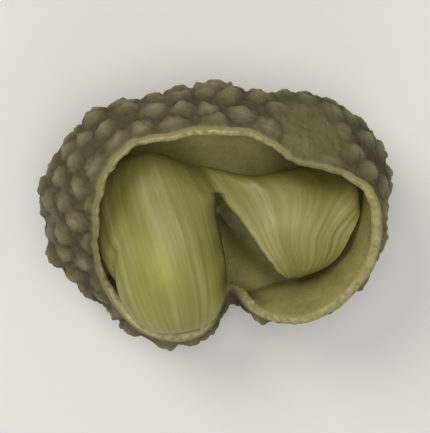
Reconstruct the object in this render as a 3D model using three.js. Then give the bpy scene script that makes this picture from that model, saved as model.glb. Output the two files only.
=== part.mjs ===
// A dried green sichuan peppercorn: one split husk with its pale lining curled up inside it.
// Millimetres, +Z up. The mouth looks up and leans towards -Y. The origin is under the middle of the
// part, on the flat spot that it rests on.

import * as THREE from "three";

// The husk's wall, at stations round it. Each has its bearing in degrees, anticlockwise from +X as
// seen from above, how far out its belly reaches, and how far out and how high its rim is.
const stations = [
  { bearing: 0, belly: 2.68, rim: 2.56, height: 2.84 },
  { bearing: 11, belly: 2.8, rim: 2.42, height: 3.0 },
  { bearing: 21, belly: 2.84, rim: 2.02, height: 3.18 },
  { bearing: 33, belly: 2.76, rim: 1.56, height: 3.32 },
  { bearing: 47, belly: 2.58, rim: 1.42, height: 3.42 },
  { bearing: 68, belly: 2.1, rim: 1.4, height: 3.5 },
  { bearing: 95, belly: 2.01, rim: 1.34, height: 3.55 },
  { bearing: 120, belly: 2.18, rim: 1.46, height: 3.5 },
  { bearing: 140, belly: 2.56, rim: 1.74, height: 3.42 },
  { bearing: 160, belly: 2.76, rim: 1.88, height: 3.3 },
  { bearing: 186, belly: 2.8, rim: 1.92, height: 2.85 },
  { bearing: 204, belly: 2.58, rim: 2.1, height: 2.28 },
  { bearing: 219, belly: 2.34, rim: 2.2, height: 1.92 },
  { bearing: 237, belly: 2.28, rim: 2.26, height: 1.8 },
  { bearing: 254, belly: 2.14, rim: 2.13, height: 1.76 },
  { bearing: 267, belly: 1.86, rim: 1.82, height: 1.68 },
  { bearing: 279, belly: 1.5, rim: 1.2, height: 1.3 },
  { bearing: 290, belly: 1.6, rim: 1.68, height: 1.8 },
  { bearing: 307, belly: 1.84, rim: 2.14, height: 2.25 },
  { bearing: 325, belly: 2.2, rim: 2.44, height: 2.4 },
  { bearing: 344, belly: 2.48, rim: 2.6, height: 2.64 },
];
const bellyShare = 0.5; // height of the belly, as a share of the rim's
const footRadius = 0.6; // the flat spot that it rests on
const footCentre = { x: 0, y: 0.12 };
const footSlope = 28; // degrees of the belly's quarter turn that the flat spot cuts off
const rimTurn = 68; // degrees of a quarter turn that the wall curls in above its belly

const wallThickness = 0.38;
const lipThickness = 0.18;
const thinsFrom = 1.3; // the rise from which the wall thins towards its lip
const cleftBearing = 279;
const cleftWidth = 30; // degrees each side of the cleft where the wall is as thin as its lip

// Oil glands, the warts that cover the outside.
const glandSpacing = 0.38; // least distance between two of them
const glandHeight = 0.17;
const glandLevels = { least: 0.65, most: 1.2 }; // how far the heights vary
const glandRoundness = 0.8; // 1 is a parabola, 0.5 a ball
const glandSpread = 0.57; // radius of a gland, as a share of the distance to its nearest neighbour
const bareRim = 0.14; // bare strip below the lip
const bareFoot = 0.3; // bare ring round the flat spot
const bareCleft = { from: 4, to: 16 }; // degrees each side of the cleft where they start, and are full
const footClear = 0.02; // how far everything but the flat spot stays above the surface below
const drawSeed = 20817;
const draws = 9000;

// A patch by the rim, over the smaller valve, that dried nearly smooth. share is its place up the wall,
// and the relief that is left on it is a share of the rest's, out to its core and full again at its edge.
const patch = { bearing: 43, share: 0.85, core: 0.35, edge: 0.95, relief: 0.4 };

// The scar where the stalk came away, low on the back: a collar round a dimple. share is its place up
// the wall, and the last three values are shares of its radius.
const scar = {
  bearing: 92,
  share: 0.46,
  radius: 0.32,
  height: 0.2,
  dimple: 0.16,
  collarAt: 0.8,
  collarWidth: 0.28,
  dimpleWidth: 0.45,
};

// The lining's two lobes. Each is a boat turned keel up, with its bow towards the cleft. Its middle,
// its half sizes, how much further its flank spreads by the wall, as a share of its half width, the
// bearing of its bow, how far its bow is above its stern, the arcs in degrees from the keel to its outer
// edge by the wall and to its edge along the slit, and how soon it narrows to its ends: 1 is slim, 0 a box.
const leftLobe = {
  side: -1,
  middle: { x: -0.78, y: -0.4, z: 1.75 },
  half: { across: 1.0, along: 1.5, up: 1.15 },
  flare: 0.18,
  bearing: 279,
  pitch: -0.1,
  outer: { stern: 115, bow: 100 },
  slit: { stern: 45, bow: 82, closing: 1.5 },
  fullness: { stern: 0.4, bow: 0.45 },
};
const rightLobe = {
  side: 1,
  middle: { x: 1.06, y: -0.14, z: 1.7 },
  half: { across: 1.3, along: 0.88, up: 1.1 },
  flare: 0.5,
  bearing: 282,
  pitch: -0.1,
  outer: { stern: 115, bow: 48 },
  slit: { stern: 76, bow: 16, closing: 2.3 },
  fullness: { stern: 0.25, bow: 0.75 },
};
const seam = { joined: 0.3, open: 0.46, reach: 0.3 }; // how far along and across they are drawn together
const flaring = { from: 35, to: 85 }; // arcs between which a boat's flank spreads towards the wall
const widening = { from: 0.25, to: 0.65 }; // where along a boat its outer edge lifts from stern to bow
const liningThickness = 0.3;
const liningEdge = 0.2; // thickness at its edges
const hollowShare = 0.45; // most that the lining's thickness takes up of a lobe's half width
const thinEdge = 0.2; // share of a lobe over which it thins to its edge
const liningGap = 0.2; // clearance that the lining keeps to the wall's inside
const wallEase = 0.3; // how soon before the wall the lining starts to turn aside
const funnel = 0.5; // how much wider the room is for each millimetre above the rim
const boatEnds = { stern: 0.05, bow: 0.002 }; // shares of the boat's length that its ends lack
const striaHeight = 0.03;
const striae = 11; // raised lines along each lobe

// Mesh sizes.
const outerStep = 0.12;
const innerStep = 0.26;
const lobeSteps = { along: 16, across: 16 };

const degrees = Math.PI / 180;
const turn = 2 * Math.PI;

function smooth(low, high, value) {
  const t = THREE.MathUtils.clamp((value - low) / (high - low), 0, 1);
  return t * t * (3 - 2 * t);
}

// A repeatable random number from 0 to 1.
function drawer(seed) {
  let state = seed;
  return () => {
    state = (Math.imul(state, 1664525) + 1013904223) >>> 0;
    return state / 4294967296;
  };
}

// A station's value between stations, on a smooth curve that closes on itself.
function around(key, bearing) {
  const count = stations.length;
  const wanted = ((bearing % 360) + 360) % 360;
  let i = count - 1;
  while (stations[i].bearing > wanted) {
    i -= 1;
  }
  const station = (k) => {
    const s = stations[(k + count) % count];
    return [s.bearing + 360 * Math.floor(k / count), s[key]];
  };
  const [b0, v0] = station(i - 1);
  const [b1, v1] = station(i);
  const [b2, v2] = station(i + 1);
  const [b3, v3] = station(i + 2);
  const span = b2 - b1;
  const t = (wanted - b1) / span;
  const m1 = ((v2 - v0) / (b2 - b0)) * span;
  const m2 = ((v3 - v1) / (b3 - b1)) * span;
  const t2 = t * t;
  const t3 = t2 * t;
  return (2 * t3 - 3 * t2 + 1) * v1 + (t3 - 2 * t2 + t) * m1 + (3 * t2 - 2 * t3) * v2 + (t3 - t2) * m2;
}

// The husk's smooth outside. rise goes from 0 at the flat spot through 1 at the belly to 2 at the rim.
function wall(bearing, rise) {
  const angle = bearing * degrees;
  const way = new THREE.Vector2(Math.cos(angle), Math.sin(angle));
  const foot = way.clone().multiplyScalar(footRadius).add(new THREE.Vector2(footCentre.x, footCentre.y));
  const belly = way.clone().multiplyScalar(around("belly", bearing));
  const rim = way.clone().multiplyScalar(around("rim", bearing));
  const height = around("height", bearing);
  if (rise < 1) {
    const low = footSlope * degrees;
    const at = low + (Math.PI / 2 - low) * rise;
    const out = (Math.sin(at) - Math.sin(low)) / (1 - Math.sin(low));
    const up = 1 - Math.cos(at) / Math.cos(low);
    const plan = foot.lerp(belly, out);
    return new THREE.Vector3(plan.x, plan.y, height * bellyShare * up);
  }
  const high = rimTurn * degrees;
  const at = high * (rise - 1);
  const inwards = (1 - Math.cos(at)) / (1 - Math.cos(high));
  const up = Math.sin(at) / Math.sin(high);
  const plan = belly.lerp(rim, inwards);
  return new THREE.Vector3(plan.x, plan.y, height * (bellyShare + (1 - bellyShare) * up));
}

// The directions round and up the wall, and its outward normal.
function wallFrame(bearing, rise) {
  const step = 0.02;
  const low = Math.max(rise - step, 0);
  const high = Math.min(rise + step, 2);
  const round = wall(bearing + 0.5, rise).sub(wall(bearing - 0.5, rise));
  const up = wall(bearing, high).sub(wall(bearing, low));
  const area = round.clone().cross(up).length() / (high - low);
  const normal = round.clone().cross(up).normalize();
  return { round: round.normalize(), up: up.normalize(), normal, area };
}

// Bearings spaced evenly along an outline between the belly and the rim.
const evenBearing = (() => {
  const samples = 720;
  const outlineRise = 1.6;
  const lengths = [0];
  for (let i = 1; i <= samples; i += 1) {
    const from = wall(((i - 1) / samples) * 360, outlineRise);
    const to = wall((i / samples) * 360, outlineRise);
    lengths.push(lengths[i - 1] + from.distanceTo(to));
  }
  return (share) => {
    const wanted = (share - Math.floor(share)) * lengths[samples];
    let i = 1;
    while (lengths[i] < wanted) {
      i += 1;
    }
    const t = (wanted - lengths[i - 1]) / (lengths[i] - lengths[i - 1]);
    return ((i - 1 + t) / samples) * 360;
  };
})();

const scarPlace = wall(scar.bearing, 2 * scar.share);
const patchPlace = wall(patch.bearing, 2 * patch.share);

// Glands: points drawn evenly over the wall's area, each kept only if it is clear of those before it.
const glands = (() => {
  const random = drawer(drawSeed);
  const kept = [];
  const largest = 0.075; // area that a degree round the wall and a unit of rise cover where it is widest
  for (let i = 0; i < draws; i += 1) {
    const bearing = 360 * random();
    const rise = 2 * random();
    const chance = random();
    if (wallFrame(bearing, rise).area < chance * largest) {
      continue;
    }
    const place = wall(bearing, rise);
    const clear = kept.every((other) => other.place.distanceTo(place) > glandSpacing);
    if (clear && place.distanceTo(scarPlace) > scar.radius + glandSpacing / 2) {
      kept.push({ bearing, rise, place });
    }
  }
  for (const gland of kept) {
    const near = kept.map((other) => (other === gland ? Infinity : other.place.distanceTo(gland.place)));
    gland.radius = glandSpread * Math.min(...near);
    gland.height = glandHeight * THREE.MathUtils.lerp(glandLevels.least, glandLevels.most, random());
  }
  return kept;
})();

// Degrees round the wall from the cleft.
function fromCleft(bearing) {
  return Math.abs(((bearing - cleftBearing + 540) % 360) - 180);
}

// How far the outside stands out from the smooth wall at a place on it.
function relief({ place, bearing, rise }) {
  let out = 0;
  for (const gland of glands) {
    const d = gland.place.distanceTo(place) / gland.radius;
    if (d < 1) {
      out = Math.max(out, gland.height * (1 - d * d) ** glandRoundness);
    }
  }
  const foot = Math.hypot(place.x - footCentre.x, place.y - footCentre.y) - footRadius;
  out *= smooth(0, bareRim, place.distanceTo(wall(bearing, 2)));
  out *= smooth(bareCleft.from, bareCleft.to, fromCleft(bearing));
  out *= THREE.MathUtils.lerp(patch.relief, 1, smooth(patch.core, patch.edge, place.distanceTo(patchPlace)));
  if (rise < 1) {
    out *= smooth(0, bareFoot, foot);
  }
  const d = place.distanceTo(scarPlace) / scar.radius;
  const collar = scar.height * Math.exp(-(((d - scar.collarAt) / scar.collarWidth) ** 2));
  const dimple = scar.dimple * Math.exp(-((d / scar.dimpleWidth) ** 2));
  return out + collar - dimple;
}

function wallThicknessAt(bearing, rise) {
  const body = THREE.MathUtils.lerp(lipThickness, wallThickness, smooth(0, cleftWidth, fromCleft(bearing)));
  return THREE.MathUtils.lerp(body, lipThickness, smooth(thinsFrom, 2, rise));
}

// Joins rings of points, each ring evenly spaced by share, into one closed skin. The first and the last
// ring are single points.
function skin(rings) {
  const points = [];
  const starts = [];
  for (const ring of rings) {
    starts.push(points.length);
    points.push(...ring);
  }
  const faces = [];
  for (let r = 0; r + 1 < rings.length; r += 1) {
    const low = rings[r].length;
    const high = rings[r + 1].length;
    let i = 0;
    let j = 0;
    const a = (k) => starts[r] + (k % low);
    const b = (k) => starts[r + 1] + (k % high);
    while (i < low || j < high) {
      const lowNext = low === 1 ? Infinity : (i + 1) / low;
      const highNext = high === 1 ? Infinity : (j + 1) / high;
      if (lowNext <= highNext) {
        faces.push(a(i), a(i + 1), b(j));
        i += 1;
      } else {
        faces.push(a(i), b(j + 1), b(j));
        j += 1;
      }
      if (low === 1 && j === high) {
        break;
      }
      if (high === 1 && i === low) {
        break;
      }
    }
  }
  return geometryOf(points, faces);
}

// A ring of points round the husk, as many as the step asks for.
function ringAt(rise, step, pointAt) {
  const samples = 72;
  const least = 12;
  let length = 0;
  for (let i = 0; i < samples; i += 1) {
    length += wall((i / samples) * 360, rise).distanceTo(wall(((i + 1) / samples) * 360, rise));
  }
  const count = Math.max(least, Math.round(length / step));
  return Array.from({ length: count }, (_, i) => pointAt(evenBearing(i / count)));
}

// The husk's outside with its glands. The nearest point to each gland is slid onto its tip.
function outsideRings(count) {
  const rings = [];
  for (let k = 0; k <= count; k += 1) {
    const rise = (2 * k) / count;
    rings.push(ringAt(rise, outerStep, (bearing) => ({ bearing, rise, place: wall(bearing, rise) })));
  }
  const free = rings.slice(1, -1).flat();
  for (const gland of glands) {
    let nearest = free[0];
    for (const point of free) {
      if (point.place.distanceTo(gland.place) < nearest.place.distanceTo(gland.place)) {
        nearest = point;
      }
    }
    Object.assign(nearest, { bearing: gland.bearing, rise: gland.rise, place: gland.place.clone() });
  }
  for (const point of free) {
    point.place.addScaledVector(wallFrame(point.bearing, point.rise).normal, relief(point));
    point.place.z = Math.max(point.place.z, footClear);
  }
  return rings.map((ring) => ring.map((point) => point.place));
}

function huskGeometry() {
  const profile = 4.4; // length of the wall's profile from the flat spot to the rim, at the back
  const rings = [[new THREE.Vector3(footCentre.x, footCentre.y, 0)]];
  rings.push(...outsideRings(Math.round(profile / outerStep)));
  // The rounded lip.
  rings.push(
    ringAt(2, outerStep, (bearing) => {
      const { normal, up } = wallFrame(bearing, 2);
      return wall(bearing, 2).addScaledVector(normal, -lipThickness / 2).addScaledVector(up, lipThickness / 2);
    }),
  );
  const inner = Math.round(profile / innerStep);
  for (let k = inner; k >= 0; k -= 1) {
    const rise = (2 * k) / inner;
    const step = k === inner ? outerStep : innerStep;
    rings.push(
      ringAt(rise, step, (bearing) =>
        wall(bearing, rise).addScaledVector(wallFrame(bearing, rise).normal, -wallThicknessAt(bearing, rise)),
      ),
    );
  }
  rings.push([new THREE.Vector3(footCentre.x, footCentre.y, wallThickness)]);
  return skin(rings);
}

// How far out from the middle the wall's inside reaches at a bearing and a height. Above the rim the
// room opens out like a funnel.
function roomAt(bearing, z) {
  const height = around("height", bearing);
  const bellyHeight = height * bellyShare;
  if (z < bellyHeight) {
    const angle = bearing * degrees;
    const footX = footCentre.x + footRadius * Math.cos(angle);
    const footY = footCentre.y + footRadius * Math.sin(angle);
    const low = footSlope * degrees;
    const at = Math.acos((1 - Math.max(z, 0) / bellyHeight) * Math.cos(low));
    const out = (Math.sin(at) - Math.sin(low)) / (1 - Math.sin(low));
    return THREE.MathUtils.lerp(Math.hypot(footX, footY), around("belly", bearing), out) - wallThickness;
  }
  const high = rimTurn * degrees;
  const at = Math.asin(Math.min((z - bellyHeight) / (height - bellyHeight), 1) * Math.sin(high));
  const inwards = (1 - Math.cos(at)) / (1 - Math.cos(high));
  const reach = THREE.MathUtils.lerp(around("belly", bearing), around("rim", bearing), inwards);
  return reach - wallThicknessAt(bearing, 1 + at / high) + funnel * Math.max(z - height, 0);
}

// Draws a point of the lining in, on a smooth curve, where the wall leaves it no room.
function keepInside(place) {
  const bearing = Math.atan2(place.y, place.x) / degrees;
  const reach = Math.hypot(place.x, place.y);
  const room = roomAt(bearing, place.z) - liningGap;
  const t = THREE.MathUtils.clamp(0.5 + (room - reach) / (2 * wallEase), 0, 1);
  const kept = THREE.MathUtils.lerp(room, reach, t) - wallEase * t * (1 - t);
  place.x *= kept / reach;
  place.y *= kept / reach;
  return place;
}

// How wide a lobe's boat is along its length, as a share of its middle.
function widthAt({ fullness }, length) {
  return Math.max(Math.sin(Math.PI * length), 0) ** (length < 0.5 ? fullness.stern : fullness.bow);
}

// A lobe's hull. length goes from 0 at the stern to 1 at the bow, and arc is the angle from the keel in
// degrees, positive on the wall's side.
function hull(lobe, length, arc) {
  const { middle, half, flare, bearing, side, pitch } = lobe;
  const angle = bearing * degrees;
  const forward = new THREE.Vector3(Math.cos(angle), Math.sin(angle), 0);
  const outward = new THREE.Vector3(-forward.y, forward.x, 0).multiplyScalar(side);
  const width = widthAt(lobe, length);
  const out = Math.sin(arc * degrees) + flare * smooth(flaring.from, flaring.to, arc);
  const place = new THREE.Vector3(middle.x, middle.y, middle.z)
    .addScaledVector(forward, -half.along * Math.cos(Math.PI * length))
    .addScaledVector(outward, half.across * width * out);
  place.z += half.up * width * Math.cos(arc * degrees) - (pitch / 2) * Math.cos(Math.PI * length);
  return keepInside(place);
}

function slitEdge(lobe, length) {
  const { stern, bow, closing } = lobe.slit;
  return -(bow + (stern - bow) * Math.max(1 - length, 0) ** closing);
}

// The lining's outside. across goes from 0 at the slit to 1 at the edge by the wall. Near the stern the
// two lobes' edges are drawn together into the valley where they are joined.
function sheet(lobe, length, across) {
  const edges = [leftLobe, rightLobe].map((each) => hull(each, length, slitEdge(each, length)));
  const valley = edges[0].clone().add(edges[1]).multiplyScalar(0.5);
  const own = lobe === leftLobe ? edges[0] : edges[1];
  const drawn = (1 - smooth(0, seam.reach, across)) * (1 - smooth(seam.joined, seam.open, length));
  const widened = smooth(widening.from, widening.to, length);
  const outer = THREE.MathUtils.lerp(lobe.outer.stern, lobe.outer.bow, widened);
  const arc = THREE.MathUtils.lerp(slitEdge(lobe, length), outer, across);
  return hull(lobe, length, arc).addScaledVector(valley.sub(own), drawn);
}

function sheetNormal(lobe, length, across) {
  const step = 0.005;
  const lengthwise = sheet(lobe, length + step, across).sub(sheet(lobe, length - step, across));
  const crosswise = sheet(lobe, length, across + step).sub(sheet(lobe, length, Math.max(across - step, 0)));
  return lengthwise.cross(crosswise).multiplyScalar(lobe.side).normalize();
}

function liningGeometry() {
  const { along, across } = lobeSteps;
  const outside = [];
  const inside = [];
  const faces = [];
  const seamPoints = [];
  for (const lobe of [leftLobe, rightLobe]) {
    const grid = [];
    for (let j = 0; j <= along; j += 1) {
      const length = THREE.MathUtils.lerp(boatEnds.stern, 1 - boatEnds.bow, j / along);
      const row = [];
      for (let i = 0; i <= across; i += 1) {
        const share = i / across;
        const joined = i === 0 && length <= seam.joined;
        if (joined && seamPoints[j] !== undefined) {
          row.push(seamPoints[j]);
          continue;
        }
        const place = sheet(lobe, length, share);
        const normal = sheetNormal(lobe, length, share);
        if (joined) {
          seamPoints[j] = outside.length;
          normal.add(sheetNormal(rightLobe, length, share)).normalize();
        }
        const slitSide = length <= seam.joined ? 1 : smooth(0, thinEdge, share);
        const ends = smooth(0, thinEdge, j / along) * smooth(0, thinEdge, 1 - j / along);
        const body = slitSide * smooth(0, thinEdge, 1 - share) * ends;
        const most = hollowShare * lobe.half.across * widthAt(lobe, length);
        const thickness = Math.min(THREE.MathUtils.lerp(liningEdge, liningThickness, body), most);
        const stria = striaHeight * body * (0.5 - 0.5 * Math.cos(turn * striae * share));
        row.push(outside.length);
        outside.push(place.clone().addScaledVector(normal, stria));
        inside.push(place.clone().addScaledVector(normal, -thickness));
      }
      grid.push(row);
    }
    for (let j = 0; j < along; j += 1) {
      for (let i = 0; i < across; i += 1) {
        const corners = [grid[j][i], grid[j + 1][i], grid[j + 1][i + 1], grid[j][i + 1]];
        const [a, b, c, d] = lobe.side > 0 ? corners : corners.toReversed();
        faces.push([a, b, c], [a, c, d]);
      }
    }
  }
  return thickened(outside, inside, faces);
}

// A closed body between a sheet's outside and its inside, walled off along the sheet's open edges.
function thickened(outside, inside, faces) {
  const total = outside.length;
  const key = (a, b) => a * total + b;
  const directed = new Set(faces.flatMap(([a, b, c]) => [key(a, b), key(b, c), key(c, a)]));
  const all = [];
  for (const [a, b, c] of faces) {
    all.push(a, b, c, total + a, total + c, total + b);
    for (const [from, to] of [[a, b], [b, c], [c, a]]) {
      if (!directed.has(key(to, from))) {
        all.push(to, from, total + from, to, total + from, total + to);
      }
    }
  }
  return geometryOf([...outside, ...inside], all);
}

function geometryOf(points, faces) {
  const geometry = new THREE.BufferGeometry();
  geometry.setAttribute("position", new THREE.Float32BufferAttribute(points.flatMap((p) => p.toArray()), 3));
  geometry.setIndex(faces);
  return geometry;
}

function piece(name, geometry, material) {
  geometry.computeVertexNormals();
  const mesh = new THREE.Mesh(geometry, material);
  mesh.name = name;
  return mesh;
}

const rind = new THREE.MeshStandardMaterial({ color: "#6d6a45", roughness: 0.72, metalness: 0 });
const parchment = new THREE.MeshStandardMaterial({ color: "#a3a45c", roughness: 0.55, metalness: 0 });

const peppercorn = new THREE.Group();
peppercorn.name = "peppercorn";
peppercorn.add(piece("husk", huskGeometry(), rind));
peppercorn.add(piece("lining", liningGeometry(), parchment));

const box = new THREE.Box3().setFromObject(peppercorn);
peppercorn.position.set(-(box.min.x + box.max.x) / 2, -(box.min.y + box.max.y) / 2, 0);

export default peppercorn;
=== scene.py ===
import math

import bpy
import numpy as np
from bpy.props import FloatProperty, FloatVectorProperty, PointerProperty
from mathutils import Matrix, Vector, noise


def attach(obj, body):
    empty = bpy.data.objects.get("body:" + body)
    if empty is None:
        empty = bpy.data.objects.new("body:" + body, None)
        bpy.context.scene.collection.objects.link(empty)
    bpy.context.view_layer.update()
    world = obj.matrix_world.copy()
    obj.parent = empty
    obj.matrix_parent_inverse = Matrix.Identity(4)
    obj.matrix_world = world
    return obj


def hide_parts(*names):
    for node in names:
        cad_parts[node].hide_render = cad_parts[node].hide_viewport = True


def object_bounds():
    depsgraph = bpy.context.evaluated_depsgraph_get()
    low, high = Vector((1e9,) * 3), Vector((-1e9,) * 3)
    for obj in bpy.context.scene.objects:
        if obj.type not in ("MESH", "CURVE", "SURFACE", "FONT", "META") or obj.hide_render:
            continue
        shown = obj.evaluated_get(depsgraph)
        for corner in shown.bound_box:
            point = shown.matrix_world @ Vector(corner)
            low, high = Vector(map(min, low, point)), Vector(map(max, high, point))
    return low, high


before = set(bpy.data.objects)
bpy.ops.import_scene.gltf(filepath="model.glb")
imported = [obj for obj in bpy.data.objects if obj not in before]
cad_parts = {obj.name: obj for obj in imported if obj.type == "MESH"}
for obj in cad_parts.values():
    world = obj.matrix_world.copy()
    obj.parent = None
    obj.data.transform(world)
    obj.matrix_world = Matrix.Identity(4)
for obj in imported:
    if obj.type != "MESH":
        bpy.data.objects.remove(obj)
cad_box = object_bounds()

bl_info = {
    "name": "Green Sichuan Peppercorn",
    "version": (1, 0, 0),
    "blender": (4, 5, 0),
    "location": "3D View > Sidebar > Peppercorn",
    "description": "Dresses the frame of one dried, split sichuan peppercorn with its husk and lining",
    "category": "Add Mesh",
}

# Sizes are in millimetres, and bearings in degrees anticlockwise from +X as seen from above. A rise is a place
# up the wall: 0 at the flat spot, 1 at the belly and 2 at the rim. The wall, the places of the glands, the
# scar and the lobes come from the same formulas and draws as the solids.
MM = 0.001
# Where the middle of the wall's plan lies in the frame.
PLAN_MIDDLE = np.array([0.0382, 0.0002])

# The wall at stations round it: bearing, how far out the belly reaches, how far out the rim is and how high.
STATIONS = np.array(
    [
        [0, 2.68, 2.56, 2.84],
        [11, 2.8, 2.42, 3.0],
        [21, 2.84, 2.02, 3.18],
        [33, 2.76, 1.56, 3.32],
        [47, 2.58, 1.42, 3.42],
        [68, 2.1, 1.4, 3.5],
        [95, 2.01, 1.34, 3.55],
        [120, 2.18, 1.46, 3.5],
        [140, 2.56, 1.74, 3.42],
        [160, 2.76, 1.88, 3.3],
        [186, 2.8, 1.92, 2.85],
        [204, 2.58, 2.1, 2.28],
        [219, 2.34, 2.2, 1.92],
        [237, 2.28, 2.26, 1.8],
        [254, 2.14, 2.13, 1.76],
        [267, 1.86, 1.82, 1.68],
        [279, 1.5, 1.2, 1.3],
        [290, 1.6, 1.68, 1.8],
        [307, 1.84, 2.14, 2.25],
        [325, 2.2, 2.44, 2.4],
        [344, 2.48, 2.6, 2.64],
    ]
)
BELLY, RIM, HEIGHT = 1, 2, 3
# Height of the belly, as a share of the rim's.
BELLY_SHARE = 0.5
# The flat spot that it rests on, and how much of the belly's quarter turn the spot cuts off.
FOOT_RADIUS = 0.6
FOOT_CENTRE = np.array([0.0, 0.12])
FOOT_SLOPE = math.radians(28)
# How far everything but the flat spot stays above the floor.
FOOT_CLEAR = 0.02
# How much of a quarter turn the wall curls in above its belly.
RIM_TURN = math.radians(68)
# The wall thins towards its lip from this rise on. At the cleft it is as thin as the lip all the way down, and
# it takes so many degrees to thicken from there.
WALL_THICKNESS = 0.38
LIP_THICKNESS = 0.18
THINS_FROM = 1.3
CLEFT_BEARING = 279.0
CLEFT_WIDTH = 30.0
# How high the lip's rounded edge stands, as a share of half its thickness.
LIP_HEIGHT = 0.7
# The rise above which the rim's fray draws the wall up and down, and the dents inside fade.
FRAYS_FROM = 1.8
# The rise at which the columns of the husk's mesh are spaced evenly.
OUTLINE_RISE = 1.6

# Oil glands, the warts that cover the outside: the least distance between two of them, their radius as a share
# of the distance to the nearest, and how far their heights vary.
GLAND_SPACING = 0.38
GLAND_SPREAD = 0.57
GLAND_LEVELS = (0.65, 1.2)
# Bare strips below the lip and round the flat spot, and the degrees each side of the cleft at which the glands
# start and are full.
BARE_RIM = 0.14
BARE_FOOT = 0.3
BARE_CLEFT = (4, 16)
# Places are drawn evenly by bearing and rise, and kept in proportion to the wall's area there.
DRAW_SEED = 20817
DRAWS = 9000
LARGEST_AREA = 0.075
# How the finer glands here vary further: in height, in radius, in the power that rounds them (0.5 is a ball
# and 1 a parabola), and in how much narrower they are one way than the other.
HEIGHT_FACTORS = (0.6, 1.1)
RADIUS_FACTORS = (0.86, 1.08)
DOME_POWERS = (0.65, 1.4)
MOST_STRETCH = 0.75
# The parts of a gland: its dome and the skin drawn up round it, as shares of its height, and how wide that
# skin and the sunken crown are, as shares of its radius.
DOME_SHARE = 0.85
SKIRT_SHARE = 0.22
SKIRT_WIDTH = 1.15
DENT_WIDTH = 0.36

# Layers of smooth noise. Each has its height, the size of its features, and a seed.
GLAND_WOBBLE = ((0.22, 0.24, 3), (0.14, 0.1, 4))
RIND_WRINKLES = ((0.03, 0.17, 6), (0.02, 0.09, 7))
RIND_LUMPS = ((0.05, 0.9, 8),)
RIM_FRAY = ((0.05, 0.5, 9), (0.03, 0.17, 10))
LIP_TEETH = ((0.02, 0.08, 12),)
INNER_DENTS = ((0.02, 0.3, 13), (0.008, 0.1, 14))
SCAR_CHIPS = ((0.25, 0.12, 17),)
EDGE_TEAR = ((0.035, 0.3, 21), (0.02, 0.1, 22))
FIBRES = ((0.007, 0.1, 24), (0.004, 0.04, 27))
RIPPLES = ((0.045, 0.8, 25),)
# Heights of the creases in the rind and of the small glands that never filled.
CREASE_DEPTH = 0.04
PIMPLE_HEIGHT = 0.035

# A patch by the rim that dried smooth: where it lies, how far its core and its edge reach, and how much of the
# relief is left on it.
SMOOTH_BEARING = 43.0
SMOOTH_RISE = 1.7
SMOOTH_REACH = (0.35, 0.95)
SMOOTH_RELIEF = 0.4
# Round this bearing the rim has dried as dull as the rind: how dull, and the degrees to its edge and its core.
DULL_BEARING = 350.0
DULL_SHARE = 0.4
DULL_REACH = (65, 35)

# Places in plan along the painted shade inside the husk, down the slit and along the right lobe's lower edge,
# and how far it fades beside it.
SLIT_SHADE_LINE = ((-0.1, 0.45), (0.1, 0.0), (0.5, -0.6), (1.0, -1.05), (1.5, -0.95))
SLIT_SHADE_LINE_REACH = 0.2
# The ends of a grey streak down the larger valve's outer side, partly painted highlight and partly grey wear,
# and how far it fades beside it.
GREY_STREAK = ((-2.72, 0.4), (-2.62, -0.7))
GREY_STREAK_REACH = 0.2
# Places in plan along a band of painted shade on the right lobe, where the wall leans over it.
HOOD_SHADE_BAND = ((0.75, 0.85), (1.1, 0.72), (1.5, 0.6), (1.95, 0.5))
HOOD_SHADE_REACH = 0.2
# Where a painted highlight, yellow and bright, lies on the left lobe's parchment, in plan, and how far that
# reaches.
LIT_SPOT = ((-0.88, -0.7), (-0.8, -0.95))
LIT_SPOT_REACH = 0.3

# The scar where the stalk came away, low on the back: a collar round a dimple.
SCAR_BEARING = 92.0
SCAR_RISE = 0.92
SCAR_RADIUS = 0.32
SCAR_HEIGHT = 0.2
SCAR_DIMPLE = 0.16
# Shares of its radius: where the collar is highest, the widths of collar and dimple, and how far out the bare
# wood and its dark core reach.
COLLAR_AT = 0.8
COLLAR_WIDTH = 0.28
DIMPLE_WIDTH = 0.45
WOOD_REACH = 1.12
CORE_REACH = 0.42

# The lining's two lobes. Each is a boat turned keel up, with its bow towards the cleft. It has its side, its
# middle, its half sizes across, along and up, how much further its flank spreads by the wall, as a share of
# its half width, the bearing of its bow, how far its bow is above its stern, the arcs in degrees from the keel
# to its outer edge at stern and bow, how far that edge leans out to the wall, the arcs to its edge along the
# slit at stern and bow and how soon that edge closes in, and how soon the boat narrows to its stern and bow,
# where 1 is slim and 0 a box.
LOBES = {
    "left": {
        "side": -1,
        "middle": (-0.84, -0.42, 1.75),
        "half": (1.0, 1.5, 1.15),
        "flare": 0.18,
        "bearing": 279,
        "pitch": -0.1,
        "outer": (115, 100),
        "lean": 0,
        "slit": (45, 82, 1.5),
        "fullness": (0.4, 0.45),
    },
    "right": {
        "side": 1,
        "middle": (1.06, -0.14, 1.7),
        "half": (1.3, 0.88, 1.1),
        "flare": 0.5,
        "bearing": 282,
        "pitch": -0.1,
        "outer": (115, 48),
        "lean": 0.05,
        "slit": (76, 16, 2.3),
        "fullness": (0.25, 0.75),
    },
}
# How far along the lobes they are joined and where they part, and how far across they are drawn together.
SEAM_JOINED, SEAM_OPEN, SEAM_REACH = 0.3, 0.46, 0.3
# Where along a boat its outer edge lifts from its stern's arc to its bow's.
WIDENING = (0.25, 0.65)
# The arcs between which a boat's flank spreads towards the wall.
FLARING = (35, 85)
# Shares of a boat's length that its stern and its bow lack.
BOAT_ENDS = (0.05, 0.0004)
# Clearance to the wall, how soon before it the lining starts to turn aside, and how much wider the room is for
# each millimetre above the rim.
LINING_GAP = 0.08
WALL_EASE = 0.3
FUNNEL = 0.5
# About how far each lobe's sheet is across, and the raised lines and finer streaks that it has in that width.
SHEET_WIDTH = 3.3
STRIAE = 11
STREAKS = 28.0
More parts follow.
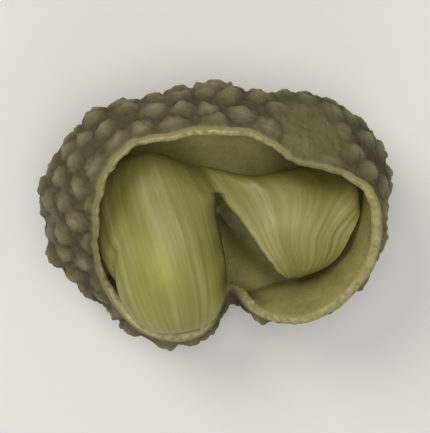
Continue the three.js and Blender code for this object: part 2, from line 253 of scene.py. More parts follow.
# The sheet's edges: how thin they are, as a share of the rest, the strip over which they thin, the share of
# the width that is torn, and the share over which the lines fade out.
EDGE_THICKNESS = 0.35
EDGE_ROUNDING = 0.07
TORN_SHARE = 0.09
PLAIN_SHARE = 0.2
# The values of "across" start from this on the right lobe, so that the two lobes differ.
RIGHT_FROM = 2

# Points round the husk's mesh, and its rows up the outside, over the lip, down the inside and across the flat
# spot. Then steps along and across each lobe.
COLUMNS = 500
OUTER_ROWS, LIP_ROWS, INNER_ROWS, FOOT_ROWS = 150, 7, 26, 5
ALONG_STEPS, ACROSS_STEPS = 120, 100
# The husk's materials, in their order on the mesh.
RIND, PITH, INSIDE = 0, 1, 2

# A Mix node's two colour inputs and its colour output go by number, since they share their names with others.
BELOW, ABOVE, MIXED = 6, 7, 2

FLOOR_REACH = 400
# Each light's name, the way to it, its distance and width, its power in watts, and its colour.
LIGHTS = (
    ("key_light", (-0.5, 0.45, 0.9), 60, 30, 0.013, (1.0, 0.97, 0.92)),
    ("fill_light", (0.8, -0.35, 0.6), 70, 50, 0.003, (0.95, 0.98, 1.0)),
    ("front_light", (0.1, -1.0, 0.7), 70, 40, 0.005, (1.0, 0.98, 0.95)),
    ("top_light", (0.05, -0.05, 1.0), 90, 60, 0.038, (1.0, 0.99, 0.96)),
)
# The picture's height over its width, and the level that the camera's distance is measured from, as a share of
# the height of the whole.
PICTURE_SHAPE = 433 / 430
VIEW_LEVEL = 0.6


def smooth(low, high, value):
    """An eased step: 0 up to low and 1 from high on, where low may also be the larger one."""
    t = np.clip((value - low) / (high - low), 0.0, 1.0)
    return t * t * (3.0 - 2.0 * t)


def mix(a, b, t):
    return a + (b - a) * t


def unit(vectors):
    return vectors / np.maximum(np.linalg.norm(vectors, axis=-1, keepdims=True), 1e-12)


def around(column, bearing):
    """A station's value between stations, on a smooth curve that closes on itself."""
    knots = np.concatenate([STATIONS[-2:, 0] - 360.0, STATIONS[:, 0], STATIONS[:3, 0] + 360.0])
    values = np.concatenate([STATIONS[-2:, column], STATIONS[:, column], STATIONS[:3, column]])
    wanted = np.mod(bearing, 360.0)
    i = np.searchsorted(knots, wanted, side="right") - 1
    b0, b1, b2, b3 = (knots[i + k] for k in (-1, 0, 1, 2))
    v0, v1, v2, v3 = (values[i + k] for k in (-1, 0, 1, 2))
    # A cubic from station to station, whose slope at each comes from the stations beside it.
    span = b2 - b1
    t = (wanted - b1) / span
    m1 = (v2 - v0) / (b2 - b0) * span
    m2 = (v3 - v1) / (b3 - b1) * span
    return (
        (2 * t**3 - 3 * t**2 + 1) * v1
        + (t**3 - 2 * t**2 + t) * m1
        + (3 * t**2 - 2 * t**3) * v2
        + (t**3 - t**2) * m2
    )


def wall(bearing, rise):
    """Places on the smooth outside.

    Below the belly the wall follows a quarter turn, less what the flat spot cuts off, and above it most of
    another.
    """
    bearing, rise = np.broadcast_arrays(np.asarray(bearing, float), np.asarray(rise, float))
    angle = np.radians(bearing)
    way = np.stack([np.cos(angle), np.sin(angle)], -1)
    foot = FOOT_CENTRE + FOOT_RADIUS * way
    belly = around(BELLY, bearing)[..., None] * way
    rim = around(RIM, bearing)[..., None] * way
    height = around(HEIGHT, bearing)
    at = FOOT_SLOPE + (math.pi / 2 - FOOT_SLOPE) * np.clip(rise, 0, 1)
    out = (np.sin(at) - math.sin(FOOT_SLOPE)) / (1 - math.sin(FOOT_SLOPE))
    up = BELLY_SHARE * (1 - np.cos(at) / math.cos(FOOT_SLOPE))
    low = np.concatenate([mix(foot, belly, out[..., None]), (height * up)[..., None]], -1)
    at = RIM_TURN * np.clip(rise - 1, 0, 1)
    inwards = (1 - np.cos(at)) / (1 - math.cos(RIM_TURN))
    up = BELLY_SHARE + (1 - BELLY_SHARE) * np.sin(at) / math.sin(RIM_TURN)
    high = np.concatenate([mix(belly, rim, inwards[..., None]), (height * up)[..., None]], -1)
    return np.where((rise < 1)[..., None], low, high)


def wall_frame(bearing, rise):
    """The wall's outward normal, its direction upwards, and its area for a degree round and a unit of rise."""
    step = 0.02
    low = np.maximum(rise - step, 0)
    high = np.minimum(rise + step, 2)
    up = wall(bearing, high) - wall(bearing, low)
    cross = np.cross(wall(bearing + 0.5, rise) - wall(bearing - 0.5, rise), up)
    area = np.linalg.norm(cross, axis=-1) / (high - low)
    return unit(cross), unit(up), area


def degrees_from(bearing, other):
    """Degrees round the wall between two bearings."""
    return np.abs(np.mod(bearing - other + 540, 360) - 180)


def wall_thickness(bearing, rise):
    """The wall's thickness, which is the lip's at the rim and all the way down the cleft."""
    body = mix(LIP_THICKNESS, WALL_THICKNESS, smooth(0, CLEFT_WIDTH, degrees_from(bearing, CLEFT_BEARING)))
    return mix(body, LIP_THICKNESS, smooth(THINS_FROM, 2, rise))


def even_bearings(count):
    """Bearings spaced evenly along an outline between the belly and the rim."""
    samples = np.linspace(0, 360, 721)
    points = wall(samples, OUTLINE_RISE)
    lengths = np.concatenate([[0], np.cumsum(np.linalg.norm(np.diff(points, axis=0), axis=1))])
    return np.interp(np.arange(count) / count * lengths[-1], lengths, samples)


def grain(points, size, seed):
    """Smooth noise from -1 to 1 at each point, with features about size millimetres across."""
    shape = points.shape[:-1]
    flat = points.reshape(-1, 3) / size + np.array([seed, 2.7 * seed, -1.3 * seed])
    return np.array([noise.noise(p) for p in flat.tolist()]).reshape(shape)


def layered(points, layers):
    """Layers of smooth noise on top of one another."""
    return sum(height * grain(points, size, seed) for height, size, seed in layers)


def ridges(points, size, seed, sharpness):
    """A net of ridges, 1 along their crests."""
    return (1 - np.abs(grain(points, size, seed))) ** sharpness


def rubbed(points):
    """Where the flat spot and its edge have rubbed grey, from 0 to 1."""
    return smooth(-0.5, 0.5, grain(points, 0.25, 19))


def repeatable(seed, count):
    """Numbers from 0 to 1, the same ones each time."""
    state = seed
    numbers = np.empty(count)
    for k in range(count):
        state = (state * 1664525 + 1013904223) & 0xFFFFFFFF
        numbers[k] = state / 4294967296
    return numbers


def near_line(points, corners, reach):
    """1 on the line through some places in plan, fading to 0 beside it."""
    near = np.zeros(points.shape[:-1])
    for start, end in zip(np.array(corners[:-1]), np.array(corners[1:])):
        along = end - start
        share = np.clip(((points[..., :2] - start) @ along) / (along @ along), 0, 1)
        away = np.linalg.norm(points[..., :2] - start - share[..., None] * along, axis=-1)
        near = np.maximum(near, np.exp(-((away / reach) ** 2)))
    return near


def find_glands(height):
    """Centres, radii and heights of the oil glands, each kept only if it is clear of those before it."""
    # Three numbers for each draw, and then one for each gland's height.
    numbers = repeatable(DRAW_SEED, 3 * DRAWS + 1000)
    bearing = 360 * numbers[0 : 3 * DRAWS : 3]
    rise = 2 * numbers[1 : 3 * DRAWS : 3]
    chance = numbers[2 : 3 * DRAWS : 3]
    area = wall_frame(bearing, rise)[2]
    place = wall(bearing, rise)
    scar = wall(SCAR_BEARING, SCAR_RISE)
    kept = []
    for k in np.flatnonzero(area >= chance * LARGEST_AREA):
        if kept and np.linalg.norm(place[kept] - place[k], axis=1).min() <= GLAND_SPACING:
            continue
        if np.linalg.norm(place[k] - scar) > SCAR_RADIUS + GLAND_SPACING / 2:
            kept.append(k)
    centres = place[kept]
    gaps = np.linalg.norm(centres[:, None] - centres[None], axis=2) + 1e9 * np.eye(len(kept))
    levels = mix(*GLAND_LEVELS, numbers[3 * DRAWS : 3 * DRAWS + len(kept)])
    return centres, GLAND_SPREAD * gaps.min(axis=1), height * levels


def gland_relief(place, settings):
    """How far the glands stand out at each point, how near it is to a crown, and its gland's own tint."""
    flat = place.reshape(-1, 3)
    centres, radii, heights = find_glands(settings.gland_height / MM)
    count = len(radii)
    rng = np.random.default_rng(DRAW_SEED)
    dents = rng.uniform(0.0, settings.gland_dent, count)
    tints = rng.uniform(0, 1, count)
    powers = rng.uniform(*DOME_POWERS, count)
    stretch = unit(rng.normal(size=(count, 3))) * rng.uniform(0, MOST_STRETCH, (count, 1))
    heights = heights * rng.uniform(*HEIGHT_FACTORS, count)
    radii = radii * rng.uniform(*RADIUS_FACTORS, count)
    wobble = 1 + layered(flat, GLAND_WOBBLE)
    out, crown, tint = (np.zeros(len(flat)) for _ in range(3))
    # In parts, so that the distances to all the glands take little memory.
    for start in range(0, len(flat), 4000):
        part = slice(start, start + 4000)
        away = flat[part, None] - centres[None]
        d = np.sqrt((away**2).sum(axis=2) + (away * stretch).sum(axis=2) ** 2) / radii * wobble[part, None]
        dome = heights * np.clip(1 - d * d, 0, None) ** powers
        level = dome - heights * dents * np.exp(-((d / DENT_WIDTH) ** 2))
        skirt = (SKIRT_SHARE * heights * np.exp(-((d / SKIRT_WIDTH) ** 4))).max(axis=1)
        out[part] = np.maximum(level, 0).max(axis=1) * DOME_SHARE + skirt
        crown[part] = np.clip(1 - d, 0, None).max(axis=1)
        weight = 1 / (d**4 + 0.02)
        tint[part] = (weight * tints).sum(axis=1) / weight.sum(axis=1)
    return [values.reshape(place.shape[:-1]) for values in (out, crown, tint)]


def husk_relief(place, bearing, rise, rim_distance, settings):
    """How far the outside stands out, and how much of each mark its points bear."""
    out, crown, tint = gland_relief(place, settings)
    fade = smooth(0, BARE_RIM, rim_distance) * smooth(*BARE_CLEFT, degrees_from(bearing, CLEFT_BEARING))
    foot = np.linalg.norm(place[..., :2] - FOOT_CENTRE, axis=-1) - FOOT_RADIUS
    foot_fade = np.where(rise < 1, smooth(0, BARE_FOOT, foot), 1)
    fade = fade * foot_fade
    smooth_middle = wall(SMOOTH_BEARING, SMOOTH_RISE)
    bare = 1 - smooth(*SMOOTH_REACH, np.linalg.norm(place - smooth_middle, axis=-1))
    fade = fade * (1 - (1 - SMOOTH_RELIEF) * bare)
    scar = np.linalg.norm(place - wall(SCAR_BEARING, SCAR_RISE), axis=-1) / SCAR_RADIUS
    collar = SCAR_HEIGHT * (1 + layered(place, SCAR_CHIPS))
    collar = collar * np.exp(-(((scar - COLLAR_AT) / COLLAR_WIDTH) ** 2))
    dimple = SCAR_DIMPLE * np.exp(-((scar / DIMPLE_WIDTH) ** 2))
    # 1 on the scar's wood, and 2 in its dimple.
    wood = np.exp(-((scar / WOOD_REACH) ** 8)) + np.exp(-((scar / CORE_REACH) ** 4))
    # Between the glands the dried skin is drawn up into a net of fine ridges.
    net = ridges(place, 0.16, 5, 6) * settings.net_height / MM * np.clip(1 - crown * 3, 0, 1)
    # All over, it is wrinkled and creased, with small glands that never filled.
    skin = layered(place, RIND_WRINKLES) + layered(place, RIND_LUMPS)
    skin = skin - CREASE_DEPTH * ridges(place + 0.05 * np.sin(place * 9), 0.2, 15, 4)
    skin = skin + PIMPLE_HEIGHT * smooth(0.25, 0.6, grain(place, 0.13, 16))
    skin = skin * foot_fade * smooth(0, 0.05, rim_distance) * (1 - 0.5 * bare)
    # The grey streak, partly painted highlight, is patchy, and the edge of the flat spot has rubbed grey too.
    worn = near_line(place, GREY_STREAK, GREY_STREAK_REACH) * smooth(-0.45, 0.3, grain(place, 0.32, 18))
    worn = np.maximum(worn, np.exp(-((foot / 0.12) ** 2)) * (rise < 1) * rubbed(place))
    marks = {"crown": crown * fade, "tint": tint, "bare": bare, "scar": wood, "worn": worn}
    return (out + net) * fade + skin + collar - dimple, marks


def husk_mesh(settings):
    """Points, faces, each face's material and the point attributes of the husk's wall.

    Its rows run from the middle of the flat spot up the outside, over the lip and down the inside.
    """
    bearing = even_bearings(COLUMNS)
    rim_line = wall(bearing, 2)
    fray = layered(rim_line, RIM_FRAY) - 0.02
    unmarked = {"crown": 0, "tint": 0.5, "rimward": 0, "bare": 0, "scar": 0, "worn": 0, "stain": 0}
    rows, kinds, marks = [], [], {name: [] for name in unmarked}

    def add(points, kind, **given):
        rows.append(points)
        kinds.append(kind)
        for name, level in unmarked.items():
            marks[name].append(np.broadcast_to(given.get(name, level), COLUMNS))

    foot_ring = wall(bearing, 0)
    bottom_centre = np.array([*FOOT_CENTRE, 0.0])
    for k in range(1, FOOT_ROWS):
        points = mix(bottom_centre, foot_ring, k / FOOT_ROWS)
        # Pitted upwards a little, and never below the floor.
        points[:, 2] += 0.012 * np.clip(grain(points, 0.12, 11), 0, 1) * math.sin(math.pi * k / FOOT_ROWS)
        add(points, RIND, worn=rubbed(points))

    around_wall, rise = np.meshgrid(bearing, np.linspace(0, 2, OUTER_ROWS + 1))
    place = wall(around_wall, rise)
    normal, up, _ = wall_frame(around_wall, rise)
    rim_distance = np.linalg.norm(place - rim_line, axis=-1)
    out, outside = husk_relief(place, bearing, rise, rim_distance, settings)
    out[0] = 0
    points = place + normal * out[..., None] + up * (fray * smooth(FRAYS_FROM, 2, rise))[..., None]
    points[1:, :, 2] = np.maximum(points[1:, :, 2], FOOT_CLEAR * smooth(0, 0.02, rise[1:]))
    for k in range(OUTER_ROWS + 1):
        given = {name: values[k] for name, values in outside.items()}
        add(points[k], RIND, rimward=0.7 * np.exp(-rim_distance[k] / 0.03), **given)

    rim_normal, rim_up, _ = wall_frame(bearing, 2.0)
    half = LIP_THICKNESS / 2
    teeth = layered(rim_line, LIP_TEETH)
    dull = DULL_SHARE * smooth(*DULL_REACH, degrees_from(bearing, DULL_BEARING))
    dull = np.maximum(outside["bare"][-1], dull)
    for k in range(1, LIP_ROWS):
        turn = math.pi * k / LIP_ROWS
        shift = rim_normal * (-half * (1 - math.cos(turn))) + rim_up * (half * LIP_HEIGHT * math.sin(turn))
        ragged = (fray + teeth * math.sin(turn))[:, None]
        # The skin reaches over the lip's first two rows.
        add(rim_line + shift + rim_up * ragged, RIND if k < 3 else PITH, rimward=1, bare=dull)

    around_wall, rise = np.meshgrid(bearing, np.linspace(2, 0, INNER_ROWS + 1))
    normal, up, _ = wall_frame(around_wall, rise)
    inside = wall(around_wall, rise) - normal * wall_thickness(around_wall, rise)[..., None]
    dents = layered(inside, INNER_DENTS)
    inside = inside + normal * (dents * smooth(2, FRAYS_FROM, rise))[..., None]
    inside = inside + up * (fray * smooth(FRAYS_FROM, 2, rise))[..., None]
    for k in range(INNER_ROWS + 1):
        # Painted shade on the inside wall along the slit and under the right lobe's lower edge.
        stain = near_line(inside[k], SLIT_SHADE_LINE, SLIT_SHADE_LINE_REACH)
        add(inside[k], INSIDE, rimward=smooth(0.2, 2.05, rise[k, 0]), stain=stain)
    top_centre = np.array([*FOOT_CENTRE, WALL_THICKNESS])
    for k in range(FOOT_ROWS - 1, 0, -1):
        points = mix(top_centre, inside[-1], k / FOOT_ROWS)
        add(points, INSIDE, stain=near_line(points, SLIT_SHADE_LINE, SLIT_SHADE_LINE_REACH))

    faces, materials = [], []
    pairs = [(i, (i + 1) % COLUMNS) for i in range(COLUMNS)]
    for k in range(len(rows) - 1):
        first, second = k * COLUMNS, (k + 1) * COLUMNS
        faces += [(first + i, first + j, second + j, second + i) for i, j in pairs]
        materials += [max(kinds[k], kinds[k + 1])] * COLUMNS
    points = np.concatenate([*rows, [bottom_centre, top_centre]]) + np.array([*PLAN_MIDDLE, 0])
    bottom, top = len(points) - 2, len(points) - 1
    last = (len(rows) - 1) * COLUMNS
    for i, j in pairs:
        faces += [(bottom, j, i), (top, last + i, last + j)]
        materials += [RIND, INSIDE]
    attributes = {name: np.append(np.concatenate(values), [0, 0]) for name, values in marks.items()}
    return points, faces, materials, attributes


def room_at(bearing, z):
    """How far out from the middle the wall's inside reaches. Above the rim the room opens out a little."""
    height, belly, rim = (around(column, bearing) for column in (HEIGHT, BELLY, RIM))
    belly_height = height * BELLY_SHARE
    angle = np.radians(bearing)
    foot = np.hypot(
        FOOT_CENTRE[0] + FOOT_RADIUS * np.cos(angle), FOOT_CENTRE[1] + FOOT_RADIUS * np.sin(angle)
    )
    at = np.arccos(np.clip((1 - np.clip(z, 0, None) / belly_height) * math.cos(FOOT_SLOPE), -1, 1))
    out = (np.sin(at) - math.sin(FOOT_SLOPE)) / (1 - math.sin(FOOT_SLOPE))
    low = mix(foot, belly, out) - WALL_THICKNESS
    share = np.clip((z - belly_height) / (height - belly_height), 0, 1)
    at = np.arcsin(share * math.sin(RIM_TURN))
    inwards = (1 - np.cos(at)) / (1 - math.cos(RIM_TURN))
    high = mix(belly, rim, inwards) - wall_thickness(bearing, 1 + at / RIM_TURN)
    return np.where(z < belly_height, low, high + FUNNEL * np.clip(z - height, 0, None))


def keep_inside(place):
    """Draws points of the lining in, on a smooth curve, where the wall leaves them no room."""
    bearing = np.degrees(np.arctan2(place[..., 1], place[..., 0]))
    reach = np.hypot(place[..., 0], place[..., 1])
    room = room_at(bearing, place[..., 2]) - LINING_GAP
    t = np.clip(0.5 + (room - reach) / (2 * WALL_EASE), 0, 1)
    kept = mix(room, reach, t) - WALL_EASE * t * (1 - t)
    scale = kept / reach
    return np.stack([place[..., 0] * scale, place[..., 1] * scale, place[..., 2]], -1)


def hull(lobe, length, arc):
    """A lobe's boat, keel up. length is 0 at the stern and 1 at the bow, and arc is degrees from the keel."""
    angle = math.radians(lobe["bearing"])
    forward = np.array([math.cos(angle), math.sin(angle), 0])
    outward = np.array([-forward[1], forward[0], 0]) * lobe["side"]
    across, along, up = lobe["half"]
    power = np.where(length < 0.5, *lobe["fullness"])
    width = np.clip(np.sin(np.pi * length), 1e-6, 1) ** power
    out = np.sin(np.radians(arc)) + lobe["flare"] * smooth(*FLARING, arc)
    place = (
        np.array(lobe["middle"])
        - forward * (along * np.cos(np.pi * length))[..., None]
        + outward * (across * width * out)[..., None]
    )
    place[..., 2] += up * width * np.cos(np.radians(arc)) - lobe["pitch"] / 2 * np.cos(np.pi * length)
    return keep_inside(place)


def slit_edge(lobe, length):
    """The arc of a lobe's edge along the slit, on the side away from the wall."""
    stern, bow, closing = lobe["slit"]
    return -(bow + (stern - bow) * np.clip(1 - length, 0, 1) ** closing)


def sheet(lobe, length, across):
    """The lining's outside. across runs from 0 at the slit to 1 at the edge by the wall."""
    edges = {name: hull(each, length, slit_edge(each, length)) for name, each in LOBES.items()}
    own = edges["left"] if lobe is LOBES["left"] else edges["right"]
    valley = (edges["left"] + edges["right"]) / 2
    drawn = (1 - smooth(0, SEAM_REACH, across)) * (1 - smooth(SEAM_JOINED, SEAM_OPEN, length))
    outer = mix(*lobe["outer"], smooth(*WIDENING, length))
    arc = mix(slit_edge(lobe, length), outer, across)
    return hull(lobe, length, arc) + (valley - own) * drawn[..., None]


def sheet_normal(lobe, length, across):
    """The outward normal of the lining's outside."""
    step = 0.005
    lengthwise = sheet(lobe, length + step, across) - sheet(lobe, length - step, across)
    crosswise = sheet(lobe, length, across + step) - sheet(lobe, length, np.maximum(across - step, 0))
    return unit(np.cross(lengthwise, crosswise) * lobe["side"])


def towards_ends(steps):
    """Shares from 0 to 1, set closer together towards both ends."""
    u = np.linspace(0, 1, steps + 1)
    return u - 0.6 * np.sin(2 * np.pi * u) / (2 * np.pi)


def lobe_relief(lobe, place, length, across, gap, settings):
    """How far a lobe's lines, fibres and ripples stand out. They fade towards its edges."""
    inner = smooth(0, PLAIN_SHARE, gap / SHEET_WIDTH)
    # Drawn out along the lobe, and apart from the other lobe's.
    drawn_out = np.stack([across * SHEET_WIDTH + 4 * lobe["side"], length * 0.7, 0 * length], -1)
    # The lines are uneven: each one bends a little, and swells and fades along the lobe.
    swell = np.clip(0.45 + 0.9 * grain(drawn_out, 0.5, 23), 0, 1)
    bend = across + 0.02 * grain(drawn_out, 0.9, 26)
    line = settings.stria_height / MM * swell * (0.5 - 0.5 * np.cos(2 * np.pi * STRIAE * bend))
    return inner * (line + layered(drawn_out, FIBRES) + layered(place, RIPPLES))


def lining_mesh(settings):
    """Points, faces and the point attributes of the lining, one sheet of two lobes."""
    thickness = settings.thickness / MM
    across, share = np.meshgrid(towards_ends(ACROSS_STEPS), towards_ends(ALONG_STEPS))
    length = mix(BOAT_ENDS[0], 1 - BOAT_ENDS[1], share)
    joined = length[:, 0] <= SEAM_JOINED
    normals = {name: sheet_normal(lobe, length, across) for name, lobe in LOBES.items()}
    seam = unit(normals["left"][:, 0] + normals["right"][:, 0])
    marks = {name: [] for name in ("along", "across", "edge", "slit")}
    grids, shifts, outside, inside = [], [], [], []
    for name, lobe in LOBES.items():
        normal = normals[name]
        normal[joined, 0] = seam[joined]
        # Millimetres to the slit, which is far off where the lobes are joined, and to the nearest free edge.
        slit_gap = np.where(joined[:, None], 9, across * SHEET_WIDTH)
        gap = np.minimum(slit_gap, SHEET_WIDTH * np.minimum(1 - across, np.minimum(share, 1 - share)))
        rounding = np.sqrt(1 - (1 - np.clip(gap / EDGE_ROUNDING, 0, 1)) ** 2)
        body = thickness * mix(EDGE_THICKNESS, 1, rounding)
        place = sheet(lobe, length, across)
        # The edges are torn a little unevenly.
        tear = layered(place, EDGE_TEAR)
        step = 0.02
        ahead = sheet(lobe, length, np.minimum(across + step, 1))
        inwards = unit(ahead - sheet(lobe, length, np.maximum(across - step, 0)))
        near_slit = np.where(joined[:, None], 0, 1 - smooth(0, TORN_SHARE, across))
        near_wall = 1 - smooth(0, TORN_SHARE, 1 - across)
        place = place + inwards * ((tear + 0.02) * near_slit - tear * near_wall)[..., None]
        shift = lobe_relief(lobe, place, length, across, gap, settings)
        if shifts:
            shift[joined, 0] = shifts[0][joined, 0]
        shifts.append(shift)
        place = place + normal * (shift - (thickness - body) / 2)[..., None]
        # The free edge by the wall leans out, from the joined part on.
        outwards = unit(place * np.array([1, 1, 0]))
        lean = lobe["lean"] * smooth(0.15, 0, 1 - across) * smooth(0.3, 0.5, length)
        place = place + outwards * lean[..., None]
        grid = len(grids) * length.size + np.arange(length.size).reshape(length.shape)
        if grids:
            grid[joined, 0] = grids[0][joined, 0]
        grids.append(grid)
        outside.append(place.reshape(-1, 3))
        inside.append((place - normal * body[..., None]).reshape(-1, 3))
        # Painted shade along the slit, reaching further in where the flank stands steeply over it.
        slit_shade_width = (0.06 + 0.26 * (slit_edge(lobe, length) / 90) ** 2) * (1 + 0.5 * grain(place, 0.35, 28))
        marks["along"].append(length.ravel())
        marks["across"].append((across + RIGHT_FROM * (name == "right")).ravel())
        marks["edge"].append(np.exp(-gap / 0.1).ravel())
        marks["slit"].append(np.exp(-((slit_gap / slit_shade_width) ** 2)).ravel())

    faces = []
    for grid, lobe in zip(grids, LOBES.values()):
        corners = [grid[:-1, :-1], grid[1:, :-1], grid[1:, 1:], grid[:-1, 1:]]
        corners = np.stack(corners, -1).reshape(-1, 4)
        faces += (corners if lobe["side"] > 0 else corners[:, ::-1]).tolist()
    offset = 2 * length.size
    directed = {(face[k], face[(k + 1) % 4]) for face in faces for k in range(4)}
    back = [[offset + k for k in reversed(face)] for face in faces]
    rim = [(b, a, offset + a, offset + b) for a, b in sorted(directed) if (b, a) not in directed]

    points = np.concatenate(outside + inside) + np.array([*PLAN_MIDDLE, 0])
    attributes = {name: np.concatenate(values * 2) for name, values in marks.items()}
    under = np.repeat([0.0, 1.0], offset)
    attributes["under"] = under
    attributes["lit_spot"] = near_line(points, LIT_SPOT, LIT_SPOT_REACH) * (1 - under)
    attributes["hood_shade"] = near_line(points, HOOD_SHADE_BAND, HOOD_SHADE_REACH)
    attributes["hood_shade"] *= attributes["across"] >= RIGHT_FROM
    # The right lobe's own points along the seam aren't used.
    used = np.unique(np.array([k for face in faces + back + rim for k in face]))
    renumber = np.full(len(points), -1)
    renumber[used] = np.arange(len(used))
    every = [tuple(renumber[list(face)]) for face in faces + back + rim]
    return points[used], every, {name: values[used] for name, values in attributes.items()}


def linear(colour):
    """A scene-linear colour from an sRGB hex value such as #6d6a45."""
    parts = [int(colour[k : k + 2], 16) / 255 for k in (1, 3, 5)]
    return [c / 12.92 if c <= 0.04045 else ((c + 0.055) / 1.055) ** 2.4 for c in parts] + [1.0]


def per(size):
    """A texture's scale, for features of this many millimetres."""
    return 1 / (size * MM)


def add_node(tree, kind, inputs=None, stops=None, **settings):
    """Adds a node with its settings, its input values or links, and a ramp's stops."""
    made = tree.nodes.new(kind)
    for name, value in settings.items():
        setattr(made, name, value)
    for socket, value in (inputs or {}).items():
        if isinstance(value, bpy.types.NodeSocket):
            tree.links.new(value, made.inputs[socket])
        else:
            made.inputs[socket].default_value = value
    if stops:
        elements = made.color_ramp.elements
        while len(elements) < len(stops):
            elements.new(1.0)
        for element, (position, colour) in zip(elements, stops):
            element.position = position
            element.color = linear(colour)
    return made


def start_material(name, mark_names=()):
    """A material with no nodes but the place on the object and the mesh's marks."""
    material = bpy.data.materials.new(name)
    material.use_nodes = True
    tree = material.node_tree
    tree.nodes.clear()
    where = add_node(tree, "ShaderNodeTexCoord").outputs["Object"]
    marks = {
        mark: add_node(tree, "ShaderNodeAttribute", attribute_name=mark).outputs["Fac"] for mark in mark_names
    }
    return material, tree, where, marks


def dried_rind(settings):
    """Fruit rind, air-dried and shrunk onto its oil glands: the crowns are paler and the creases darker,
    partly its own tone and partly painted highlight and shade.
    """
    material, tree, where, marks = start_material(
        "dried_rind", ("crown", "tint", "bare", "worn", "scar", "rimward")
    )
    # Blotches where the rind dried browner, about a millimetre across.
    blotch = add_node(
        tree, "ShaderNodeTexNoise", {"Vector": where, "Scale": per(1.1), "Detail": 3.0}
    ).outputs["Fac"]
    # Mottling of the cells under the skin, drawn a little coarser than the real one of a twentieth of a
    # millimetre, so that it shows.
    mottle = add_node(
        tree, "ShaderNodeTexNoise", {"Vector": where, "Scale": per(0.07), "Detail": 4.0, "Roughness": 0.65}
    ).outputs["Fac"]
    # The crowns are painted paler and the creases darker: partly the rind's own tone, partly painted highlight
    # and shade.
    height = add_node(
        tree, "ShaderNodeMath", {0: mottle, 1: 0.5, 2: marks["crown"]}, operation="MULTIPLY_ADD"
    ).outputs[0]
    height = add_node(tree, "ShaderNodeMath", {0: height, 1: 0.25}, operation="SUBTRACT").outputs[0]
    green, brown = (
        add_node(tree, "ShaderNodeValToRGB", {"Fac": height}, stops=stops).outputs["Color"]
        for stops in (
            [(0.0, "#504e2d"), (0.2, "#5f5d38"), (0.5, "#716f46"), (0.9, "#86835a")],
            [(0.0, "#504830"), (0.2, "#5f563b"), (0.5, "#72694b"), (0.9, "#8a8262")],
        )
    )
    browner = add_node(
        tree, "ShaderNodeMath", {0: marks["tint"], 1: 0.28, 2: blotch}, operation="MULTIPLY_ADD"
    ).outputs[0]
    browner = add_node(
        tree,
        "ShaderNodeMapRange",
        {"Value": browner, "From Min": 0.45, "From Max": 0.85, "To Min": 0.0, "To Max": 0.9},
        interpolation_type="SMOOTHSTEP",
    ).outputs["Result"]
    plain = add_node(
        tree,
        "ShaderNodeValToRGB",
        {"Fac": mottle},
        stops=[(0.2, "#6c6b38"), (0.5, "#777640"), (0.8, "#82804a")],
    ).outputs["Color"]
    # The smooth patch's colour sinks in unevenly at its edge.
    soaked = add_node(tree, "ShaderNodeMath", {0: marks["bare"], 1: blotch}, operation="MULTIPLY").outputs[0]
    soaked = add_node(
        tree, "ShaderNodeMapRange", {"Value": soaked, "From Min": 0.12, "From Max": 0.5, "To Max": 0.85}
    ).outputs["Result"]
    worn = add_node(tree, "ShaderNodeMath", {0: marks["worn"], 1: 0.6}, operation="MULTIPLY").outputs[0]
    wood = add_node(
        tree, "ShaderNodeValToRGB", {"Fac": mottle}, stops=[(0.3, "#7a6c4c"), (0.7, "#a39474")]
    ).outputs["Color"]
    scar = add_node(tree, "ShaderNodeMapRange", {"Value": marks["scar"], "From Max": 1.0}).outputs["Result"]
    core = add_node(
        tree, "ShaderNodeMapRange", {"Value": marks["scar"], "From Min": 1.0, "From Max": 2.0}
    ).outputs["Result"]
    colour = green
    for share, over in (
        (browner, brown),
        (soaked, plain),
        (worn, linear("#7f7768")),  # grey where it has rubbed, and along the streak partly painted highlight
        (scar, wood),  # bare wood where the stalk was
        (core, linear("#3d3320")),  # dark in the dimple where the stalk's core was
        (marks["rimward"], [*settings.rim_colour, 1.0]),
    ):
        colour = add_node(
            tree, "ShaderNodeMix", {"Factor": share, BELOW: colour, ABOVE: over}, data_type="RGBA"
        ).outputs[MIXED]
    # The crowns are drawn taut over the oil and shine a little.
    rough = add_node(
        tree, "ShaderNodeMapRange", {"Value": marks["crown"], "To Min": 0.8, "To Max": 0.5}
    ).outputs["Result"]
    cells = add_node(
        tree, "ShaderNodeTexNoise", {"Vector": where, "Scale": per(0.06), "Detail": 5.0, "Roughness": 0.7}
    ).outputs["Fac"]
    bump = add_node(
        tree, "ShaderNodeBump", {"Height": cells, "Strength": 0.9, "Distance": 0.03 * MM}
    ).outputs["Normal"]
    shader = add_node(
        tree,
        "ShaderNodeBsdfPrincipled",
        {"Base Color": colour, "Roughness": rough, "Normal": bump, "IOR": 1.46},
    )
    add_node(tree, "ShaderNodeOutputMaterial", {"Surface": shader.outputs["BSDF"]})
    return material


def torn_rim():
    """Pith laid bare where the rind split along its seam: pale, dry and fibrous."""
    material, tree, where, marks = start_material("torn_rim", ("bare",))
    # Bundles of fibres, about a tenth of a millimetre across.
    fibre = add_node(
        tree, "ShaderNodeTexNoise", {"Vector": where, "Scale": per(0.09), "Detail": 4.0}
    ).outputs["Fac"]
    colour = add_node(
        tree,
        "ShaderNodeValToRGB",
        {"Fac": fibre},
        stops=[(0.3, "#857c4c"), (0.5, "#aba26c"), (0.7, "#c2b98a")],
    ).outputs["Color"]
    # As dull as the rind in some places.
    colour = add_node(
        tree,
        "ShaderNodeMix",
        {"Factor": marks["bare"], BELOW: colour, ABOVE: linear("#807c46")},
        data_type="RGBA",
    ).outputs[MIXED]
    bump = add_node(
        tree, "ShaderNodeBump", {"Height": fibre, "Strength": 0.8, "Distance": 0.012 * MM}
    ).outputs["Normal"]
    shader = add_node(
        tree,
        "ShaderNodeBsdfPrincipled",
        {"Base Color": colour, "Roughness": 0.78, "Normal": bump, "IOR": 1.46},
    )
    add_node(tree, "ShaderNodeOutputMaterial", {"Surface": shader.outputs["BSDF"]})
    return material


